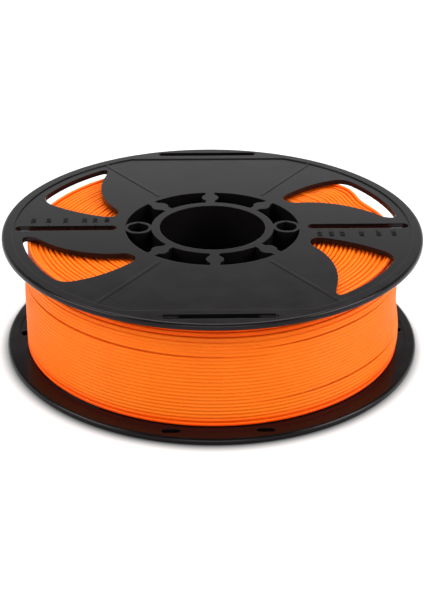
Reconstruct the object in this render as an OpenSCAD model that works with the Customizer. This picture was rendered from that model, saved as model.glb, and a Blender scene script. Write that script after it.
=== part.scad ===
// Filament spool: two identical moulded halves, pegged together at mid width,
// and one long strand of filament wound on their drum.
// Frame: Z is the spool's axis, the origin is the centre of the face it stands on.

/* [Flanges] */
// Outside diameter of both flanges
flange_d = 200; // [190:1:220]
// Width of the spool over both flanges
spool_w = 60; // [50:1:80]
// Thickness of the flange web
web_t = 2.4; // [2:0.1:3]
// Height of the rim, pads and ridges above the web's outer face
rim_raise = 0.5; // [0.3:0.1:1]
// Height of the rim above the web's inner face
rim_lip = 0.4; // [0.2:0.1:0.8]
// Radial width of the raised rim
rim_w = 5.2; // [4:0.2:6]
// Radius of the rounded edges of the rim
rim_round = 1.3; // [0.6:0.1:1.3]

/* [Windows] */
// Width of flange left between the drum and a window
window_inner_margin = 4.5; // [3:0.5:8]
// Width of flange left between a window and the raised rim
window_outer_margin = 4.4; // [3:0.2:8]
// How far the windows' rim corners are cut back to round them
window_corner = 6.5; // [3:0.5:9]

/* [Panels] */
// Half the angle between the ridges of one plain panel
panel_half_angle = 34; // [30:0.5:35]
// Width of a panel's ridge
ridge_w = 1.6; // [0.8:0.1:2]
// Height of a panel's ridge
ridge_h = 0.2; // [0.1:0.05:0.5]
// Width of the flat pad between a panel and the raised rim
pad_w = 8.8; // [7:0.2:12]

/* [Slots] */
// Width of the long slot through which the winding's depth is read
slot_w = 5.3; // [3:0.1:8]
// Width of flange left between the drum and the slot
slot_inner_margin = 1.6; // [1:0.2:4]
// Width of flange left between the slot and the raised rim
slot_outer_margin = 0.9; // [0.5:0.1:3]
// Length of a gauge mark beside the slot
mark_len = 1.3; // [1:0.1:4]
// Width of a gauge mark
mark_w = 0.5; // [0.4:0.1:1]
// Height of a gauge mark
mark_h = 0.25; // [0.2:0.05:0.5]
// Space between the slot and its gauge marks
mark_gap = 0.8; // [0.5:0.1:3]

/* [Clip channels] */
// Length of the channel in each pad
channel_len = 51; // [40:1:60]
// Width of the channel
channel_w = 4.3; // [4:0.1:5]
// Depth of the channel
channel_depth = 2.1; // [1.2:0.1:2.2]
// Distance from the raised rim's inner edge in to the channel's centre line
channel_inset = 2.8; // [2:0.1:4]
// Length of the hole through each end of the channel
end_hole_len = 8.5; // [5:0.5:10]
// Width of the hole through each end of the channel
end_hole_w = 3.8; // [2:0.1:3.8]

/* [Hub] */
// Diameter of the axle bore
bore_d = 50.5; // [40:0.5:54]
// Wall of the axle tube
bore_wall = 3.95; // [2:0.05:5]
// Outside diameter of the winding drum
drum_d = 88; // [86:1:100]
// Wall of the winding drum
drum_wall = 2.4; // [2:0.1:4]
// Width of the ribs that tie the axle tube to the drum
rib_w = 4.4; // [3:0.1:6]
// Diameter of the round boss on each rib
boss_d = 8.2; // [7.5:0.1:10]
// Diameter of the two drive holes
drive_hole_d = 10; // [6:0.5:10]
// Width of the key notch beside each drive hole
notch_w = 2; // [1:0.1:3]
// Depth of the key notch
notch_depth = 0.9; // [0.4:0.1:1]

/* [Pegs] */
// Diameter of the pegs that join the halves
peg_d = 4.8; // [3:0.1:5]
// Length of the pegs
peg_len = 6; // [3:0.5:10]
// Radial clearance of a peg in its socket
peg_clear = 0.1; // [0.05:0.05:0.2]
// Extra depth of a socket past its peg's tip
socket_extra = 0.5; // [0.3:0.1:2]

/* [Filament] */
// Diameter of the filament
filament_d = 1.75; // [1.5:0.05:3]
// Diameter over the wound filament
wound_d = 178.4; // [120:1:180]
// Gap that the winding leaves to each flange
side_gap = 0.1; // [0.05:0.05:0.5]
// Least gap between neighbouring turns of the outer layer
turn_gap = 0.42; // [0.41:0.01:1]
// Radial clearance of the wound filament on the drum
drum_fit = 0.05; // [0.02:0.01:0.2]
// Radial clearance of the filament's inner end in its anchor hole
anchor_clear = 0.3; // [0.2:0.05:0.6]
// Distance of the anchor hole from the flange
anchor_up = 5; // [3:0.5:12]

/* [Hidden] */
$fn = 96;

PLASTIC = [0.27, 0.26, 0.27];
FILAMENT = [0.98, 0.45, 0.12];

// How far a cut runs past a face, and how deep added material sinks into a face
past = 1;
weld = 0.4;

// Heights in one half, measured from the mid plane where the halves meet
half_w = spool_w / 2;
web_top = half_w - rim_raise;
web_under = web_top - web_t;
rim_under = web_under - rim_lip;

// Radii from the centre outwards
bore_r = bore_d / 2;
axle_tube_r = bore_r + bore_wall;
drum_r = drum_d / 2;
pocket_r = drum_r - drum_wall;
flange_r = flange_d / 2;
rim_in_r = flange_r - rim_w;
window_in_r = drum_r + window_inner_margin;
window_out_r = rim_in_r - window_outer_margin;
window_edge_deep = window_out_r - window_corner - window_in_r;

// Hub layout: eight places, of which two hold a drive hole and six a boss
hub_places = 8;
place_step = 360 / hub_places;
boss_circle_r = (axle_tube_r + pocket_r) / 2;
drive_ring_r = (pocket_r - axle_tube_r) / 2 + weld;
drive_places = [0, 4];
peg_places = [1, 2, 3];
socket_places = [5, 6, 7];
peg_taper = 0.6;

// Windows: each long edge has its angle near the drum, half way out, where the rim corner
// starts to round, and where the corner would be if it were sharp
WINDOW_A = [[-13.8, -15.8, -19.9, -22.2], [-23.6, -36.1, -51.3, -56]];
WINDOW_B = [[44.5, 44.9, 41.9, 40.5], [34.9, 23.6, 7.2, 4.5]];
edge_steps = 8;
corner_steps = 5;
tip_cut_high = 6;
tip_cut_low = 2.5;

// Gauge marks: the share of the filament that is left when the winding is down to the mark
gauge_shares = [0.1, 0.2, 0.3, 0.5, 0.7, 0.9];

// The winding
anchor_angle = place_step / 2;
anchor_z = web_under - anchor_up;
winding_z0 = rim_raise + web_t + side_gap;
winding_z1 = spool_w - winding_z0;
rings_per_turn = 24;
tube_sides = 6;
most_turns = 24;
strand_r = filament_d / 2;
strand_path_r = wound_d / 2 - strand_r;
climb = winding_z1 - winding_z0 - filament_d;
turns = min(most_turns, floor(climb / (filament_d + turn_gap)));
pitch = climb / turns;
turn_start = 90;
// The chords between rings pass inside the true helix, so the layers below stop short of them
core_r = (strand_path_r - strand_r) * cos(180 / rings_per_turn) - drum_fit;

function polar(r, a) = [r * cos(a), r * sin(a)];

function share_radius(share) =
    sqrt(drum_r * drum_r + share * (wound_d * wound_d / 4 - drum_r * drum_r));

// A window's edge at a share t of the way from the drum side to its rim corner
function edge_point(edge, t) =
    polar(window_in_r + t * window_edge_deep,
          edge[0] * (1 - t) * (1 - 2 * t) + 4 * edge[1] * t * (1 - t) - edge[2] * t * (1 - 2 * t));

// A corner rounded by a parabola from p to q that leans on the corner c
function corner(p, c, q) =
    [for (i = [1 : corner_steps - 1])
        let (t = i / corner_steps)
        (1 - t) * (1 - t) * p + 2 * t * (1 - t) * c + t * t * q];

function window_outline(window) =
    let (high = window[0], low = window[1],
         t_high = tip_cut_high / window_edge_deep,
         t_low = tip_cut_low / window_edge_deep,
         a_cut = window_corner / window_out_r * 180 / PI,
         a_high = high[3] - a_cut,
         a_low = low[3] + a_cut,
         tip_high = edge_point(high, 0),
         tip_low = edge_point(low, 0),
         tip_mid = (tip_high + tip_low) / 2)
    concat(
        [for (i = [0 : edge_steps]) edge_point(high, t_high + (1 - t_high) * i / edge_steps)],
        corner(edge_point(high, 1), polar(window_out_r, high[3]), polar(window_out_r, a_high)),
        [for (i = [0 : edge_steps]) polar(window_out_r, a_high + (a_low - a_high) * i / edge_steps)],
        corner(polar(window_out_r, a_low), polar(window_out_r, low[3]), edge_point(low, 1)),
        [for (i = [0 : edge_steps]) edge_point(low, 1 + (t_low - 1) * i / edge_steps)],
        corner(edge_point(low, t_low), tip_low, tip_mid),
        [tip_mid],
        corner(tip_mid, tip_high, edge_point(high, t_high))
    );

module at_hub_place(k) {
    rotate([0, 0, k * place_step]) translate([boss_circle_r, 0, 0]) children();
}

// A bar with round ends, along X, standing on z = 0
module round_ended_bar(len, w, h) {
    translate([-len / 2 + w / 2, -w / 2, 0]) cube([len - w, w, h]);
    for (side = [-1, 1])
        translate([side * (len - w) / 2, 0, 0]) cylinder(d = w, h = h);
}

module flange_disc() {
    arc = [for (a = [-90 : 15 : 0]) [flange_r - rim_round + rim_round * cos(a),
                                     rim_under + rim_round + rim_round * sin(a)]];
    arc_up = [for (a = [0 : 15 : 90]) [flange_r - rim_round + rim_round * cos(a),
                                       half_w - rim_round + rim_round * sin(a)]];
    rotate_extrude()
        polygon(concat(
            [[drum_r - weld, web_under], [rim_in_r, web_under], [rim_in_r, rim_under]],
            arc,
            arc_up,
            [[rim_in_r, half_w], [rim_in_r, web_top], [drum_r - weld, web_top]]
        ));
}

// The flat pads outside the plain panels, level with the rim
module pads() {
    for (side = [-1, 1])
        intersection() {
            translate([0, 0, web_top - weld]) cylinder(r = rim_in_r + weld, h = rim_raise + weld);
            rotate([0, 0, side * 90])
                translate([rim_in_r - pad_w, -flange_r, 0]) cube([pad_w + rim_w, flange_d, half_w]);
        }
}

module ridges() {
    ridge_from = drum_r + ridge_w;
    for (side = [0, 180], lean = [-1, 1])
        rotate([0, 0, 90 + side + lean * panel_half_angle])
            translate([ridge_from, -ridge_w / 2, web_top - weld])
                cube([rim_in_r + weld - ridge_from, ridge_w, ridge_h + weld]);
}

module gauge_marks() {
    for (turn = [0, 180], share = gauge_shares)
        rotate([0, 0, turn])
            translate([share_radius(share) - mark_w / 2, -slot_w / 2 - mark_gap - mark_len, web_top - weld])
                cube([mark_w, mark_len, mark_h + weld]);
}

module hub_body() {
    difference() {
        cylinder(r = drum_r, h = web_top);
        translate([0, 0, -past]) cylinder(r = pocket_r, h = web_top + 2 * past);
    }
    difference() {
        cylinder(r = axle_tube_r, h = web_top);
        translate([0, 0, -past]) cylinder(r = bore_r, h = web_top + 2 * past);
    }
    for (k = [0 : hub_places - 1])
        if (len(search(k, drive_places)) == 0) {
            rotate([0, 0, k * place_step])
                translate([axle_tube_r - weld, -rib_w / 2, 0])
                    cube([pocket_r - axle_tube_r + 2 * weld, rib_w, web_top]);
            at_hub_place(k) cylinder(d = boss_d, h = web_top);
        }
    for (k = drive_places)
        at_hub_place(k) cylinder(r = drive_ring_r, h = web_top);
}

module pegs() {
    for (k = peg_places)
        at_hub_place(k) {
            translate([0, 0, -peg_len + peg_taper]) cylinder(d = peg_d, h = peg_len - peg_taper + weld);
            translate([0, 0, -peg_len])
                cylinder(d1 = peg_d - 2 * peg_taper, d2 = peg_d, h = peg_taper);
        }
}

module sockets() {
    for (k = socket_places)
        at_hub_place(k)
            translate([0, 0, -past])
                cylinder(d = peg_d + 2 * peg_clear, h = peg_len + socket_extra + past);
}

module drive_holes() {
    for (k = drive_places) {
        at_hub_place(k)
            translate([0, 0, -past]) cylinder(d = drive_hole_d, h = half_w + 2 * past);
        translate([boss_circle_r * cos(k * place_step), 0, -past])
            linear_extrude(height = half_w + 2 * past)
                polygon([[-notch_w / 2, 0],
                         [notch_w / 2, 0],
                         [notch_w / 2, drive_hole_d / 2],
                         [0, drive_hole_d / 2 + notch_depth],
                         [-notch_w / 2, drive_hole_d / 2]]);
    }
}

module windows() {
    for (turn = [0, 180], window = [WINDOW_A, WINDOW_B])
        rotate([0, 0, turn])
            translate([0, 0, rim_under - past])
                linear_extrude(height = half_w - rim_under + 2 * past)
                    polygon(window_outline(window));
}

module gauge_slots() {
    slot_from = drum_r + slot_inner_margin;
    slot_to = rim_in_r - slot_outer_margin;
    for (turn = [0, 180])
        rotate([0, 0, turn])
            translate([(slot_from + slot_to) / 2, 0, rim_under - past])
                round_ended_bar(slot_to - slot_from, slot_w, half_w - rim_under + 2 * past);
}

module clip_channels() {
    end_hole_x = (channel_len - end_hole_len - channel_w + end_hole_w) / 2;
    for (side = [-1, 1])
        translate([0, side * (rim_in_r - channel_inset), 0]) {
            translate([0, 0, half_w - channel_depth])
                round_ended_bar(channel_len, channel_w, channel_depth + past);
            for (end = [-1, 1])
                translate([end * end_hole_x, 0, rim_under - past])
                    round_ended_bar(end_hole_len, end_hole_w, half_w - rim_under);
        }
}

module anchor_hole() {
    rotate([0, 0, anchor_angle])
        translate([pocket_r - past, 0, anchor_z])
            rotate([0, 90, 0])
                cylinder(d = filament_d + 2 * anchor_clear, h = drum_wall + 2 * past);
}

// One half of the spool, with its outer face up and its mating face on z = 0
module half_spool() {
    color(PLASTIC)
        difference() {
            union() {
                flange_disc();
                hub_body();
                pads();
                ridges();
                gauge_marks();
                pegs();
            }
            windows();
            gauge_slots();
            clip_channels();
            sockets();
            drive_holes();
            anchor_hole();
        }
}

module upper_half() {
    translate([0, 0, half_w]) half_spool();
}

module lower_half() {
    translate([0, 0, half_w]) rotate([180, 0, 0]) half_spool();
}

// All the layers under the outer one, with the inner end anchored in the lower half's drum
module filament_inner_layers() {
    color(FILAMENT)
        union() {
            difference() {
                translate([0, 0, winding_z0]) cylinder(r = core_r, h = winding_z1 - winding_z0);
                cylinder(r = drum_r + drum_fit, h = spool_w);
            }
            rotate([0, 0, -anchor_angle])
                translate([pocket_r, 0, half_w - anchor_z])
                    rotate([0, 90, 0])
                        cylinder(d = filament_d, h = drum_wall + filament_d);
        }
}

// Centre of the outer layer's strand after i rings
function strand_centre(i) =
    let (a = turn_start + 360 * i / rings_per_turn)
    [strand_path_r * cos(a), strand_path_r * sin(a),
     winding_z0 + strand_r + pitch * i / rings_per_turn];

function strand_slope() = pitch / (2 * PI * strand_path_r);

// Unit vector along the strand at ring i
function strand_along(i) =
    let (a = turn_start + 360 * i / rings_per_turn, k = strand_slope())
    [-sin(a), cos(a), k] / sqrt(1 + k * k);

// The points of one ring about centre c, in the plane square to the strand at ring i
function strand_ring(c, i) =
    let (a = turn_start + 360 * i / rings_per_turn,
         out = [cos(a), sin(a), 0],
         up = cross(out, strand_along(i)))
    [for (s = [0 : tube_sides - 1])
        let (b = 360 * (s + 0.5) / tube_sides)
        c + strand_r * (cos(b) * out + sin(b) * up)];

last_ring = turns * rings_per_turn;

// Both ends run on straight for one strand diameter
strand_rings = concat(
    [strand_ring(strand_centre(0) - filament_d * strand_along(0), 0)],
    [for (i = [0 : last_ring]) strand_ring(strand_centre(i), i)],
    [strand_ring(strand_centre(last_ring) + filament_d * strand_along(last_ring), last_ring)]
);

strand_points = [for (ring = strand_rings, p = ring) p];

strand_faces = concat(
    [for (i = [0 : len(strand_rings) - 2], s = [0 : tube_sides - 1], half = [0, 1])
        let (n = tube_sides, a = i * n + s, b = i * n + (s + 1) % n)
        half == 0 ? [a, a + n, b + n] : [a, b + n, b]],
    [for (s = [1 : tube_sides - 2]) [0, s, s + 1]],
    [for (s = [1 : tube_sides - 2])
        let (first = (len(strand_rings) - 1) * tube_sides)
        [first, first + s + 1, first + s]]
);

// The least distance between points of rings that lie one turn apart
least_gap = min([for (i = [0 : len(strand_rings) - rings_per_turn - 2], j = [-1, 0, 1])
    min([for (p = strand_rings[i], q = strand_rings[i + rings_per_turn + j]) norm(p - q)])]);

module filament_outer_layer() {
    echo(turns = turns, pitch = pitch, least_gap = least_gap);
    color(FILAMENT) polyhedron(points = strand_points, faces = strand_faces, convexity = 10);
}

upper_half();
lower_half();
filament_inner_layers();
filament_outer_layer();
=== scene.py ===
"""Looks of the filament spool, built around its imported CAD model.

The two moulded halves are the CAD nodes themselves, in a plastic whose shader rounds their edges
over. One piece with the strand's real turns stands for the wound filament, and raised numbers
lie beside the gauge's marks. Lengths are in metres and angles in degrees, unless a name or a
comment says otherwise.
"""

import math

import bpy
from mathutils import Matrix, Vector, noise


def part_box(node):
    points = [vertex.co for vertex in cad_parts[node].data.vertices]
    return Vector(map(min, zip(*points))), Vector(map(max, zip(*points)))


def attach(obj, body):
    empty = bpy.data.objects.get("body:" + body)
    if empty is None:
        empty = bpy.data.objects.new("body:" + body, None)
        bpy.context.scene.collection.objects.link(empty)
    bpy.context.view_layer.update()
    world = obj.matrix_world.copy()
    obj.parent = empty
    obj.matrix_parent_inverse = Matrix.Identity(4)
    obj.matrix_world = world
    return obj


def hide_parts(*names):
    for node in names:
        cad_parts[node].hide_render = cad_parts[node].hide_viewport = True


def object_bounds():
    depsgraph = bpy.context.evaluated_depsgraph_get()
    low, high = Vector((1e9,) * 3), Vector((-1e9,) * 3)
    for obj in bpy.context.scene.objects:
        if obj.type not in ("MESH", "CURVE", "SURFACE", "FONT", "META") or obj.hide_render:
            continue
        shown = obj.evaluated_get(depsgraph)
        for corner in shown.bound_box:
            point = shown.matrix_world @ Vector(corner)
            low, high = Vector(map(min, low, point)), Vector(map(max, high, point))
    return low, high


MM = 0.001
UP = Vector((0, 0, 1))
WHITE = (1, 1, 1, 1)

# The photograph's frame, in pixels, and its camera
FRAME_HEIGHT = 600
FOCAL_PIXELS = 1514
SENSOR = 36
CAMERA_BACK = 658.3 * MM
CAMERA_HIGH = 359.5 * MM
CAMERA_DOWN = math.radians(27.26)
CAMERA_ROLL = math.radians(0.37)
SPOOL_TURN = math.radians(2)

# Square soft boxes that face the spool: name, place, size and watts
LAMPS = (
    ("front", (0, -1.8, 0.45), 1.2, 13),
    ("right", (1.6, -0.45, 1.1), 1.2, 36),
    ("left", (-1.6, -0.45, 1.1), 1.2, 28),
    ("back", (0, 0.9, 2.2), 2.0, 56),
)
LAMPS_AIM = Vector((0, 0, 30 * MM))

# The world: angles above the horizon between which the white backdrop ends, how bright the room
# above it is, and the even light
BACKDROP_TOP = (21, 30.3)
ROOM_ABOVE = 0.06
WORLD_LIGHT = 0.46

# The floor: its paper is darker under the spool, a painted shadow, and it glows a little away
# from the spool and some more far out, where it meets the backdrop. The glow is held off near the
# spool, so the painted shadow ends softly at its edge. Distances are from the spool's middle, on
# a plane that is stretched and shifted a little along X, which shapes that painted shadow.
FLOOR_HALF = 4.0
FLOOR_HEIGHT = -0.1 * MM
PAINTED_SHADOW_EDGE = (97.5 * MM, 106.2 * MM)
FLOOR_FAR = (0.5, 2.2)
FLOOR_STRETCH = (1.01, 1, 1)
FLOOR_SHIFT = (0.4 * MM, 0, 0)
# Paper under the spool, painted dark as a painted shadow
PAPER_SHADOW_UNDER = 0.06
PAPER_AWAY = 0.44
GLOW_AWAY = 0.5
GLOW_FAR = 0.4

# Colours, each as the dark and the light end of a range that noise runs through
SPOOL_GREY = ((0.0035, 0.0029, 0.0031, 1), (0.0044, 0.0037, 0.004, 1))
# The numbers' darker grey is painted shade: it stands for the shadow inside engraved digits
NUMBER_SHADE_GREY = ((0.002, 0.0017, 0.002, 1), (0.0028, 0.0024, 0.0028, 1))
ORANGE = ((0.825, 0.147, 0.006, 1), (0.845, 0.159, 0.008, 1))
# Painted shade: the filament darker and redder deep between the turns and under the webs
CREVICE_SHADE_ORANGE = ((0.6, 0.058, 0.001, 1), (0.64, 0.064, 0.0012, 1))
# Painted shade: the outermost turns redder where the flanges keep light off them
FLANGE_SHADE_ORANGE = ((0.89, 0.058, 0.0006, 1), (0.91, 0.065, 0.001, 1))

# Gloss
SPOOL_SPECULAR = 0.165
NUMBER_SPECULAR = 0.085
SPOOL_SPECULAR_TINT = (1, 0.92, 0.95, 1)
SPOOL_ROUGHNESS = (0.16, 0.23)
FILAMENT_SPECULAR = 0.08
FILAMENT_ROUGHNESS = (0.36, 0.45)

# Noise as (scale per metre, detail), and the span that most of its values lie in
SPOOL_CLOUDS = (38, 4)
SPOOL_GLOSS = (95, 3)
SPOOL_GRAIN = (1800, 2)
FILAMENT_SHADE = (55, 3)
FILAMENT_GLOSS = (260, 2)
FILAMENT_GRAIN = (2600, 2)
NOISE_SPAN = (0.3, 0.7)

# Bumps as (strength, distance), and how the shader rounds the mouldings' edges
SPOOL_BUMP = (0.25, 0.05 * MM)
FILAMENT_BUMP = (0.12, 0.04 * MM)
EDGE_SOFTNESS = 0.25 * MM
EDGE_SAMPLES = 6

# Where the filament is painted redder and darker, as painted shade. Hidden places, painted
# crevice
# shade: how far they look for neighbours, and the open share between which they end. Beside the
# flanges, painted shade under the flanges: the normal's height, the radius and the height from
# the winding's middle between which that starts or ends.
CREVICE_SHADE_REACH = 3 * MM
CREVICE_SHADE_SAMPLES = 8
CREVICE_SHADE_OPEN = (0.1, 0.75)
BESIDE_LEVEL = (0.4, 0.8)
BESIDE_RADIUS = (83 * MM, 84 * MM)
BESIDE_HEIGHT = (18 * MM, 23.5 * MM)
WINDING_MIDDLE = 27.5 * MM

# Sizes of the mouldings that the pieces here sit on
WEB_BELOW_RIM = 0.5 * MM
DRUM_R = 44 * MM

# The gauge: the shares of the filament that have a mark, and the grams of all of it
GAUGE_SHARES = (0.1, 0.2, 0.3, 0.5, 0.7, 0.9)
FULL_GRAMS = 1000
NUMBER_FROM_MIDDLE = 6.3 * MM
NUMBER_SIZE = 3.3 * MM
NUMBER_HIGH = 0.25 * MM
NUMBER_CURVES = 3

# The filament: the lower turns lie side by side, and the ones above them lie looser. Each turn
# starts at one angle, and steps up to the next one over the last share of its way round.
STRAND_R = 0.875 * MM
STRAND_SIDES = 8
RINGS_A_TURN = 144
TURNS = 28
TIGHT_TURNS = 22
TIGHT_PITCH = 1.8 * MM
LOOSE_PITCH = 2.45 * MM
FIRST_GAP = 0.45 * MM
FIRST_ANGLE = 90
STEP_UP_FROM = 0.7

# The outermost layer's strand comes up out of the layer below, and wanders a little
LEAD_IN = 45
LEAD_DEPTH = 2.2 * STRAND_R
WANDERS_A_TURN = 7
WANDER_SEED = 4.2
WANDER_OUT = 0.06 * MM
WANDER_UP = 0.05 * MM

# Places where the outer turns part a little, as (turn below the groove, angle of its middle,
# half its length in degrees, width of the parting, rise of the turns there)
GROOVES = (
    (19, -135, 72, 0.8 * MM, 0.7 * MM),
    (21, -48, 38, 0.65 * MM, 0.5 * MM),
    (6, -42, 42, 0.75 * MM, 0.9 * MM),
    (24, 60, 60, 0.35 * MM, -0.6 * MM),
    (10, 150, 50, 0.35 * MM, 0.5 * MM),
)
GROOVE_TURNS = 6
DENT_DEEP = 1.8 * MM
DENT_WIDE = 0.5 * MM

# Where the winding stands out from round, as (depth, angle of the middle, reach in degrees), and
# the heights that go with it: the right bulge's middle and reach, and the left one's upper end
RIGHT_BULGE = (1.9 * MM, -8, 62)
RIGHT_HEIGHT = (10 * MM, 19 * MM)
LEFT_BULGE = (1.3 * MM, 180, 75)
LEFT_END = (30 * MM, 44 * MM)

# How far the winding draws in under the upper flange: all round, and more or less in places, as
# (depth, angle of the middle, reach). It starts lower and takes longer at the early place.
DRAW_IN = 2.4 * MM
DRAW_IN_PLACES = (
    (0.8 * MM, 55, 80),
    (-1.4 * MM, 188, 42),
    (1.7 * MM, 24, 13),
    (-2.6 * MM, 38, 13),
)
DRAW_IN_FROM = 51.5 * MM
DRAW_IN_OVER = 4.5 * MM
EARLY_PLACE = (188, 42)
EARLY_LOWER = 9.5 * MM
EARLY_LONGER = 0.5 * MM

# The turns on an end face: from outside the drum to inside the outermost layer, and how they
# stray out and sink below the face
LAYER_PITCH = 2.3 * MM
ENDS_FROM_DRUM = STRAND_R + 0.1 * MM
ENDS_FROM_OUTSIDE = 2.7 * STRAND_R
END_SINK = 0.9 * MM
STRAY_OUT = 0.55 * MM
STRAY_OUT_RATE = 3.1
STRAY_IN = 0.6 * MM
STRAY_IN_RATE = 2.3
UPPER_SEED = 1.7
LOWER_SEED = 5.3

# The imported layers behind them. Their ends lie below the faces, their outer edge lies back from
# the outermost layer, and a skirt follows the lowest turn. They lie deeper behind looser turns.
CORE_STEP = 0.4 * MM
CORE_FROM_DRUM = 0.05 * MM
CORE_END = 1.45 * STRAND_R + END_SINK
CORE_SHOULDER = 3 * STRAND_R
CORE_SKIRT = (1.3 * STRAND_R, 0.7 * STRAND_R)
CORE_BEHIND = 0.5 * STRAND_R
CORE_DEEPER = 1.15 * STRAND_R
DEEPER_FROM = 43 * MM
DEEPER_OVER = 5 * MM
CORE_SWELL = 1.05

# The strand's inner end, in the anchor hole of the lower half's drum
ANCHOR_ANGLE = -22.5
ANCHOR_Z = 7.9 * MM
ANCHOR_FROM = 41.6 * MM
ANCHOR_TO = 45.75 * MM
ANCHOR_STEPS = 6

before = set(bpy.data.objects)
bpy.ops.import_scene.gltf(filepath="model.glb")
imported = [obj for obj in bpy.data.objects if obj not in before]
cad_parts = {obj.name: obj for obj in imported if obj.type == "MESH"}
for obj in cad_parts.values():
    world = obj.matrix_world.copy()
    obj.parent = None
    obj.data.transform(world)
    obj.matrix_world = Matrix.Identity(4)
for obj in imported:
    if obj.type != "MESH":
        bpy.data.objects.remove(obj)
bpy.context.view_layer.update()
cad_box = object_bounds()
scene = bpy.context.scene


# ---------------------------------------------------------------- small helpers


def smooth(t):
    """0 below 0, 1 above 1, and a smooth step between them."""
    t = min(1.0, max(0.0, t))
    return t * t * (3 - 2 * t)


def hump(x, middle, reach):
    """1 in the middle, falling smoothly to 0 at the reach on either side."""
    d = abs(x - middle) / reach
    return math.cos(d * math.pi / 2) ** 2 if d < 1 else 0.0


def angle_hump(angle, middle, reach):
    """A hump round the spool's axis."""
    return hump((angle - middle + 180) % 360 - 180, 0, reach)


def round_axis(r, angle, z):
    """A point at a radius, an angle and a height."""
    a = math.radians(angle)
    return Vector((r * math.cos(a), r * math.sin(a), z))


def new_object(name, data):
    made = bpy.data.objects.new(name, data)
    scene.collection.objects.link(made)
    return made


def mesh_object(name, points, faces, shaded_smooth=True):
    mesh = bpy.data.meshes.new(name)
    mesh.from_pydata(points, [], faces)
    mesh.update()
    if shaded_smooth:
        mesh.shade_smooth()
    return new_object(name, mesh)


def join(pieces, name):
    """One object from several."""
    with bpy.context.temp_override(
        active_object=pieces[0], selected_editable_objects=pieces
    ):
        bpy.ops.object.join()
    pieces[0].name = name
    return pieces[0]


# ---------------------------------------------------------------- nodes


def node(tree, kind, inputs=None, **settings):
    """A new node. Each input is a plain value or another node's output."""
    made = tree.nodes.new(kind)
    for name, value in settings.items():
        setattr(made, name, value)
    for name, value in (inputs or {}).items():
        if isinstance(value, bpy.types.NodeSocket):
            tree.links.new(value, made.inputs[name])
        else:
            made.inputs[name].default_value = value
    return made


def calculated(tree, operation, *values):
    """Math on values, each a number or another node's output."""
    inputs = dict(enumerate(values))
    return node(tree, "ShaderNodeMath", inputs, operation=operation).outputs[0]


def ranged(tree, value, start, end, low=0.0, high=1.0, interpolation="SMOOTHSTEP"):
    """A value's way from start to end spread over low to high, and held beyond them."""
    inputs = {
        "Value": value,
        "From Min": start,
        "From Max": end,
        "To Min": low,
        "To Max": high,
    }
    made = node(tree, "ShaderNodeMapRange", inputs, interpolation_type=interpolation)
    return made.outputs["Result"]


def mixed(tree, share, first, second):
    """A colour between two, each plain or another node's output."""
    inputs = {"Factor": share, "A": first, "B": second}
    return node(tree, "ShaderNodeMix", inputs, data_type="RGBA").outputs["Result"]


def split(tree, vector):
    """The X, Y and Z of another node's vector."""
    return node(tree, "ShaderNodeSeparateXYZ", {"Vector": vector}).outputs


def noise_height(tree, scale, detail):
    place = node(tree, "ShaderNodeTexCoord").outputs["Object"]
    inputs = {"Vector": place, "Scale": scale, "Detail": detail}
    return node(tree, "ShaderNodeTexNoise", inputs).outputs["Fac"]


def noise_between(tree, scale_and_detail, low=0.0, high=1.0):
    """Noise spread over a range."""
    value = noise_height(tree, *scale_and_detail)
    return ranged(tree, value, *NOISE_SPAN, low, high, "LINEAR")


def bumped(tree, scale_and_detail, strength, distance, edges=0.0):
    """A normal with a grain, and with the edges of the shape rounded over by a radius."""
    inputs = {
        "Height": noise_height(tree, *scale_and_detail),
        "Strength": strength,
        "Distance": distance,
    }
    if edges:
        rounded = node(tree, "ShaderNodeBevel", {"Radius": edges}, samples=EDGE_SAMPLES)
        inputs["Normal"] = rounded.outputs["Normal"]
    return node(tree, "ShaderNodeBump", inputs).outputs["Normal"]


# ---------------------------------------------------------------- camera, light and floor


def make_camera():
    data = bpy.data.cameras.new("camera")
    data.sensor_width = SENSOR
    data.lens = FOCAL_PIXELS / FRAME_HEIGHT * SENSOR
    camera = new_object("camera", data)
    camera.matrix_world = (
        Matrix.Rotation(-SPOOL_TURN, 4, "Z")
        @ Matrix.Translation((0, -CAMERA_BACK, CAMERA_HIGH))
        @ Matrix.Rotation(math.pi / 2 - CAMERA_DOWN, 4, "X")
        @ Matrix.Rotation(CAMERA_ROLL, 4, "Z")
    )
    scene.camera = camera


def seen_directly(tree):
    """1 for rays that show a backdrop: from the camera, off gloss or through glass."""
    rays = node(tree, "ShaderNodeLightPath").outputs
    most = rays["Is Camera Ray"]
    for other in ("Is Glossy Ray", "Is Transmission Ray"):
        most = calculated(tree, "MAXIMUM", most, rays[other])
    return most


def make_world():
    """An even light, and for rays that show it a white backdrop with a dim room above."""
    world = bpy.data.worlds.new("studio")
    scene.world = world
    world.use_nodes = True
    tree = world.node_tree
    tree.nodes.clear()
    height = split(tree, node(tree, "ShaderNodeTexCoord").outputs["Generated"])["Z"]
    top = [math.sin(math.radians(angle)) for angle in BACKDROP_TOP]
    white = ranged(tree, height, *top, 1.0, ROOM_ABOVE)
    shown = node(tree, "ShaderNodeBackground", {"Color": WHITE, "Strength": white})
    light = node(tree, "ShaderNodeBackground", {"Color": WHITE, "Strength": WORLD_LIGHT})
    both = {"Fac": seen_directly(tree), 1: light.outputs[0], 2: shown.outputs[0]}
    mix = node(tree, "ShaderNodeMixShader", both)
    node(tree, "ShaderNodeOutputWorld", {"Surface": mix.outputs[0]})


def make_lamp(name, place, size, power):
    data = bpy.data.lights.new(name, "AREA")
    data.size = size
    data.energy = power
    lamp = new_object(name, data)
    lamp.location = place
    lamp.rotation_mode = "QUATERNION"
    lamp.rotation_quaternion = (Vector(place) - LAMPS_AIM).to_track_quat("Z", "Y")


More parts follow.
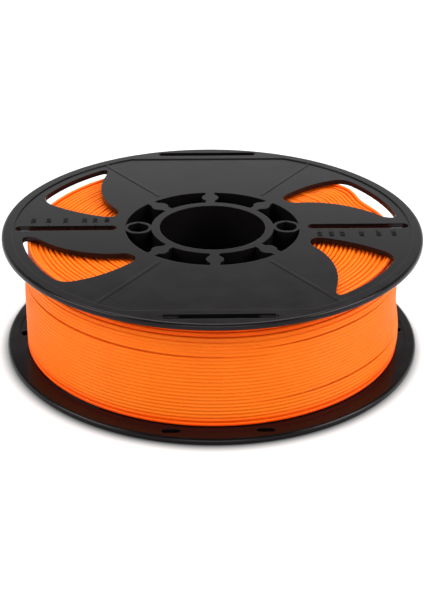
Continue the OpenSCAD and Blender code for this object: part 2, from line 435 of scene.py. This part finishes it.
def away_from_spool(tree, start, end, near, far):
    """One value up to a distance from the spool's middle, and another from a second one on."""
    place = node(tree, "ShaderNodeNewGeometry").outputs["Position"]
    stretched = node(
        tree,
        "ShaderNodeVectorMath",
        {0: place, 1: FLOOR_STRETCH, 2: FLOOR_SHIFT},
        operation="MULTIPLY_ADD",
    )
    distance = node(
        tree, "ShaderNodeVectorMath", {0: stretched.outputs[0]}, operation="LENGTH"
    )
    return ranged(tree, distance.outputs["Value"], start, end, near, far)


def make_floor():
    corners = ((-1, -1), (1, -1), (1, 1), (-1, 1))
    floor = mesh_object(
        "floor",
        [(x * FLOOR_HALF, y * FLOOR_HALF, FLOOR_HEIGHT) for x, y in corners],
        [(0, 1, 2, 3)],
        False,
    )
    material = bpy.data.materials.new("floor_white")
    material.use_nodes = True
    tree = material.node_tree
    tree.nodes.clear()
    # Painted shadow: the paper is darker under the spool and up to its edge
    shade = away_from_spool(tree, *PAINTED_SHADOW_EDGE, PAPER_SHADOW_UNDER, PAPER_AWAY)
    paper = node(tree, "ShaderNodeBsdfDiffuse", {"Color": shade})
    # The glow is held off near the spool, which leaves a painted shadow round it; further out it
    # makes the floor white
    glow_here = calculated(
        tree,
        "ADD",
        away_from_spool(tree, *PAINTED_SHADOW_EDGE, 0.0, GLOW_AWAY),
        away_from_spool(tree, *FLOOR_FAR, 0.0, GLOW_FAR),
    )
    strength = calculated(tree, "MULTIPLY", seen_directly(tree), glow_here)
    glow = node(tree, "ShaderNodeEmission", {"Color": WHITE, "Strength": strength})
    both = node(tree, "ShaderNodeAddShader", {0: paper.outputs[0], 1: glow.outputs[0]})
    node(tree, "ShaderNodeOutputMaterial", {"Surface": both.outputs[0]})
    floor.data.materials.append(material)


# ---------------------------------------------------------------- materials


def new_material(name):
    """A material, its node tree and its shader's inputs."""
    material = bpy.data.materials.new(name)
    material.use_nodes = True
    tree = material.node_tree
    return material, tree, tree.nodes["Principled BSDF"].inputs


def plastic_material(name, dark, light, specular):
    """Satin moulded plastic: fine grain, faint flow clouds and small changes of gloss."""
    material, tree, shader = new_material(name)
    colour = mixed(tree, noise_between(tree, SPOOL_CLOUDS), dark, light)
    gloss = noise_between(tree, SPOOL_GLOSS, *SPOOL_ROUGHNESS)
    normal = bumped(tree, SPOOL_GRAIN, *SPOOL_BUMP, EDGE_SOFTNESS)
    tree.links.new(colour, shader["Base Color"])
    tree.links.new(gloss, shader["Roughness"])
    tree.links.new(normal, shader["Normal"])
    shader["Specular IOR Level"].default_value = specular
    shader["Specular Tint"].default_value = SPOOL_SPECULAR_TINT
    return material


def painted_crevice_shade(tree):
    """Painted shade mask: 1 deep between the turns and under the webs, 0 where the surface is
    open.
    """
    shade = node(
        tree,
        "ShaderNodeAmbientOcclusion",
        {"Distance": CREVICE_SHADE_REACH},
        samples=CREVICE_SHADE_SAMPLES,
    )
    return ranged(tree, shade.outputs["AO"], *CREVICE_SHADE_OPEN, 1.0, 0.0)


def painted_flange_shade(tree):
    """Painted shade mask: 1 on the outermost turns where they lie against a flange, which keeps
    light off them.
    """
    place = node(tree, "ShaderNodeTexCoord").outputs
    x, y, z = split(tree, place["Object"])
    squares = [calculated(tree, "MULTIPLY", v, v) for v in (x, y)]
    radius = calculated(tree, "SQRT", calculated(tree, "ADD", *squares))
    height = calculated(tree, "ABSOLUTE", calculated(tree, "SUBTRACT", z, WINDING_MIDDLE))
    level = calculated(tree, "ABSOLUTE", split(tree, place["Normal"])["Z"])
    sideways = ranged(tree, level, *BESIDE_LEVEL, 1.0, 0.0)
    outermost = ranged(tree, radius, *BESIDE_RADIUS)
    near_flange = ranged(tree, height, *BESIDE_HEIGHT)
    here = calculated(tree, "MULTIPLY", sideways, outermost)
    return calculated(tree, "MULTIPLY", here, near_flange)


def filament_material():
    """Glossy orange strand, with painted shade: redder and darker where it lies deep or against a
    flange.
    """
    material, tree, shader = new_material("filament_orange")
    shade = noise_between(tree, FILAMENT_SHADE)
    colour = mixed(tree, shade, *ORANGE)
    crevice_shade_colour = mixed(tree, shade, *CREVICE_SHADE_ORANGE)
    flange_shade_colour = mixed(tree, shade, *FLANGE_SHADE_ORANGE)
    # Painted crevice shade: darker, redder orange deep between the turns and under the webs
    colour = mixed(tree, painted_crevice_shade(tree), colour, crevice_shade_colour)
    # Painted shade: redder orange on the outer turns beside the flanges
    colour = mixed(tree, painted_flange_shade(tree), colour, flange_shade_colour)
    gloss = noise_between(tree, FILAMENT_GLOSS, *FILAMENT_ROUGHNESS)
    normal = bumped(tree, FILAMENT_GRAIN, *FILAMENT_BUMP)
    tree.links.new(colour, shader["Base Color"])
    tree.links.new(gloss, shader["Roughness"])
    tree.links.new(normal, shader["Normal"])
    shader["Specular IOR Level"].default_value = FILAMENT_SPECULAR
    return material


# ---------------------------------------------------------------- the moulded halves


def dress_halves(plastic):
    for name in ("upper_half", "lower_half"):
        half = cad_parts[name]
        for i in range(len(half.data.materials)):
            half.data.materials[i] = plastic


def share_radius(share, wound_r):
    """Radius of the winding when that share of the filament is left."""
    return math.sqrt(DRUM_R**2 + share * (wound_r**2 - DRUM_R**2))


def gauge_number(share, wound_r):
    """A raised number beside its mark, on the web's face at z = 0, for the slot along +X."""
    text = bpy.data.curves.new("number", "FONT")
    text.body = f"{share * FULL_GRAMS:.0f}"
    text.size = NUMBER_SIZE
    text.align_x, text.align_y = "LEFT", "CENTER"
    text.extrude = NUMBER_HIGH / 2
    text.resolution_u = NUMBER_CURVES
    flat = new_object("number", text)
    bpy.context.view_layer.update()
    mesh = bpy.data.meshes.new_from_object(
        flat.evaluated_get(bpy.context.evaluated_depsgraph_get())
    )
    bpy.data.objects.remove(flat)
    mesh.transform(
        Matrix.Translation((share_radius(share, wound_r), -NUMBER_FROM_MIDDLE, 0))
        @ Matrix.Rotation(-math.pi / 2, 4, "Z")
    )
    return new_object("number", mesh)


def make_gauge_numbers(plastic, wound_r):
    """The numbers beside both slots, on the outer faces of both halves, in a darker grey that is
    painted shade, as inside engraved digits.
    """
    low, high = cad_box[0].z, cad_box[1].z
    middle = (low + high) / 2
    web = high - WEB_BELOW_RIM
    turned_over = (
        Matrix.Translation((0, 0, middle))
        @ Matrix.Rotation(math.pi, 4, "X")
        @ Matrix.Translation((0, 0, -middle))
    )
    for name, place in (("upper", Matrix.Identity(4)), ("lower", turned_over)):
        numbers = []
        for turn in (0, math.pi):
            for share in GAUGE_SHARES:
                number = gauge_number(share, wound_r)
                number.data.transform(
                    place
                    @ Matrix.Rotation(turn, 4, "Z")
                    @ Matrix.Translation((0, 0, web + NUMBER_HIGH / 2))
                )
                numbers.append(number)
        made = join(numbers, f"gauge_numbers_{name}")
        made.data.materials.clear()
        made.data.materials.append(plastic)
        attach(made, "root")


# ---------------------------------------------------------------- the wound filament


def tube(name, path):
    """A round strand along a path, closed at both ends."""
    points, faces = [], []
    sides = STRAND_SIDES
    for i, here in enumerate(path):
        along = (path[min(i + 1, len(path) - 1)] - path[max(i - 1, 0)]).normalized()
        out = along.cross(UP).normalized()
        side = out.cross(along)
        for s in range(sides):
            b = 2 * math.pi * (s + 0.5) / sides
            points.append(here + STRAND_R * (math.cos(b) * out + math.sin(b) * side))
    for i in range(len(path) - 1):
        for s in range(sides):
            a, b = i * sides + s, i * sides + (s + 1) % sides
            faces.append((a, b, b + sides, a + sides))
    last = (len(path) - 1) * sides
    faces.append(tuple(range(sides - 1, -1, -1)))
    faces.append(tuple(range(last, last + sides)))
    return mesh_object(name, points, faces)


def parting(turn, angle):
    """How far the grooves push a turn up or down at an angle."""
    moved = 0.0
    for at, middle, reach, width, rise in GROOVES:
        here = angle_hump(angle, middle, reach)
        away = (turn - at + 0.5) / GROOVE_TURNS
        moved += here * math.exp(-(away**2)) * rise
        moved += here * math.copysign(width / 2, away) * math.exp(-abs(away))
    return moved


def swell(angle, z):
    """How far the winding stands out from its round shape."""
    out = 0.0
    depth, *place = RIGHT_BULGE
    out += depth * angle_hump(angle, *place) * hump(z, *RIGHT_HEIGHT)
    depth, *place = LEFT_BULGE
    start, end = LEFT_END
    out += depth * angle_hump(angle, *place) * (1 - smooth((z - start) / (end - start)))
    early = angle_hump(angle, *EARLY_PLACE)
    start = DRAW_IN_FROM - EARLY_LOWER * early
    over = DRAW_IN_OVER + EARLY_LONGER * early
    depths = [depth * angle_hump(angle, *place) for depth, *place in DRAW_IN_PLACES]
    return out - smooth((z - start) / over) * (DRAW_IN + sum(depths))


def turn_height(turn, angle, bottom, top):
    """Height of a turn at an angle."""
    part = (angle - FIRST_ANGLE) % 360 / 360
    turn += smooth((part - STEP_UP_FROM) / (1 - STEP_UP_FROM))
    tight = min(turn, 1) * FIRST_GAP + min(turn, TIGHT_TURNS) * TIGHT_PITCH
    loose = max(0, turn - TIGHT_TURNS) * LOOSE_PITCH
    return min(bottom + STRAND_R + tight + loose, top - STRAND_R)


def outer_layer(bottom, top, wound_r):
    """The turns of the outermost layer, as one strand."""
    path = []
    lead = int(LEAD_IN / 360 * RINGS_A_TURN)
    for i in range(-lead, TURNS * RINGS_A_TURN + 1):
        turn, part = divmod(i / RINGS_A_TURN, 1)
        angle = FIRST_ANGLE + 360 * part
        z = turn_height(turn, angle, bottom, top) if turn >= 0 else bottom + STRAND_R
        if 0 < turn < TURNS - 1:
            z += parting(turn, (angle + 180) % 360 - 180)
        wander = noise.noise(Vector((i * WANDERS_A_TURN / RINGS_A_TURN, WANDER_SEED, 0)))
        r = wound_r - STRAND_R + swell(angle, z) + WANDER_OUT * wander
        r -= LEAD_DEPTH * smooth(-i / lead)
        z = min(max(z + WANDER_UP * wander, bottom + STRAND_R), top - STRAND_R)
        path.append(round_axis(r, angle, z))
    return tube("outer_layer", path)


def layer_ends(name, z, inward, wound_r, seed):
    """The turns that show on an end face, one a layer, out from the drum. The last one lies
    against the outermost layer all the way round."""
    first, last = DRUM_R + ENDS_FROM_DRUM, wound_r - ENDS_FROM_OUTSIDE
    turns = (last - first) / LAYER_PITCH + 1
    path = []
    for i in range(int(turns * RINGS_A_TURN)):
        turn = i / RINGS_A_TURN
        angle = 360 * turn
        stray = noise.noise(Vector((turn * STRAY_OUT_RATE, seed, 0.5)))
        sink = 0.5 + 0.5 * noise.noise(Vector((turn * STRAY_IN_RATE, seed + 9, 3.5)))
        r = min(first + LAYER_PITCH * turn, last) + STRAY_OUT * stray
        r += swell(angle, z) * smooth(turn / turns)
        height = z + inward * (STRAND_R + END_SINK + STRAY_IN * sink)
        path.append(round_axis(r, angle, height))
    return tube(name, path)


def dent(angle, z, bottom, top):
    """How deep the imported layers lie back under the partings."""
    deep = 0.0
    for at, middle, reach, _, rise in GROOVES:
        here = angle_hump(angle, middle, reach)
        line = turn_height(at - 0.5, angle, bottom, top) + here * rise
        deep += here * DENT_DEEP * math.exp(-(((z - line) / DENT_WIDE) ** 2))
    return deep


def core_outline(angle, bottom, top, wound_r):
    """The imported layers' section at an angle, as radii and heights, without the swell."""
    low, high = bottom + CORE_END, top - CORE_END
    inner, shoulder = DRUM_R + CORE_FROM_DRUM, wound_r - CORE_SHOULDER
    outline = [(inner, low), (shoulder, low)]
    outline += [(wound_r - back, bottom + STRAND_R) for back in CORE_SKIRT]
    steps = int((high - low) / CORE_STEP)
    for i in range(steps + 1):
        z = low + (high - low) * i / steps
        behind = CORE_BEHIND + CORE_DEEPER * smooth((z - DEEPER_FROM) / DEEPER_OVER)
        outline.append((wound_r - behind - dent(angle, z, bottom, top), z))
    return outline + [(shoulder, high), (inner, high)]


def core(bottom, top, wound_r):
    """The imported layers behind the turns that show."""
    points, faces = [], []
    around = RINGS_A_TURN
    for i in range(around):
        angle = 360 * i / around
        outline = core_outline(angle, bottom, top, wound_r)
        for r, z in outline:
            share = (r - DRUM_R) / (wound_r - DRUM_R) * CORE_SWELL
            points.append(round_axis(r + swell(angle, z) * smooth(share), angle, z))
    n = len(outline)
    for i in range(around):
        j = (i + 1) % around
        for k in range(n):
            m = (k + 1) % n
            faces.append((i * n + k, j * n + k, j * n + m, i * n + m))
    return mesh_object("core", points, faces)


def inner_end():
    """The strand's first few millimetres, held in the anchor hole of the lower half's drum."""
    path = []
    for i in range(ANCHOR_STEPS + 1):
        r = ANCHOR_FROM + (ANCHOR_TO - ANCHOR_FROM) * i / ANCHOR_STEPS
        path.append(round_axis(r, ANCHOR_ANGLE, ANCHOR_Z))
    return tube("inner_end", path)


def make_filament(material):
    low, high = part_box("filament_outer_layer")
    bottom, top, wound_r = low.z, high.z, high.x
    made = join(
        [
            outer_layer(bottom, top, wound_r),
            layer_ends("upper_end", top, -1, wound_r, UPPER_SEED),
            layer_ends("lower_end", bottom, 1, wound_r, LOWER_SEED),
            core(bottom, top, wound_r),
            inner_end(),
        ],
        "filament_winding",
    )
    made.data.materials.append(material)
    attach(made, "root")
    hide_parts("filament_outer_layer", "filament_inner_layers")
    return wound_r


# ---------------------------------------------------------------- the scene

make_camera()
make_world()
for lamp in LAMPS:
    make_lamp(*lamp)
make_floor()

spool_plastic = plastic_material("spool_grey", *SPOOL_GREY, SPOOL_SPECULAR)
# A darker grey for the numbers, as painted shade of engraved digits
number_shade_plastic = plastic_material("number_shade_grey", *NUMBER_SHADE_GREY, NUMBER_SPECULAR)
dress_halves(spool_plastic)
full_radius = make_filament(filament_material())
make_gauge_numbers(number_shade_plastic, full_radius)

scene.view_settings.view_transform = "Standard"

bpy.context.view_layer.update()
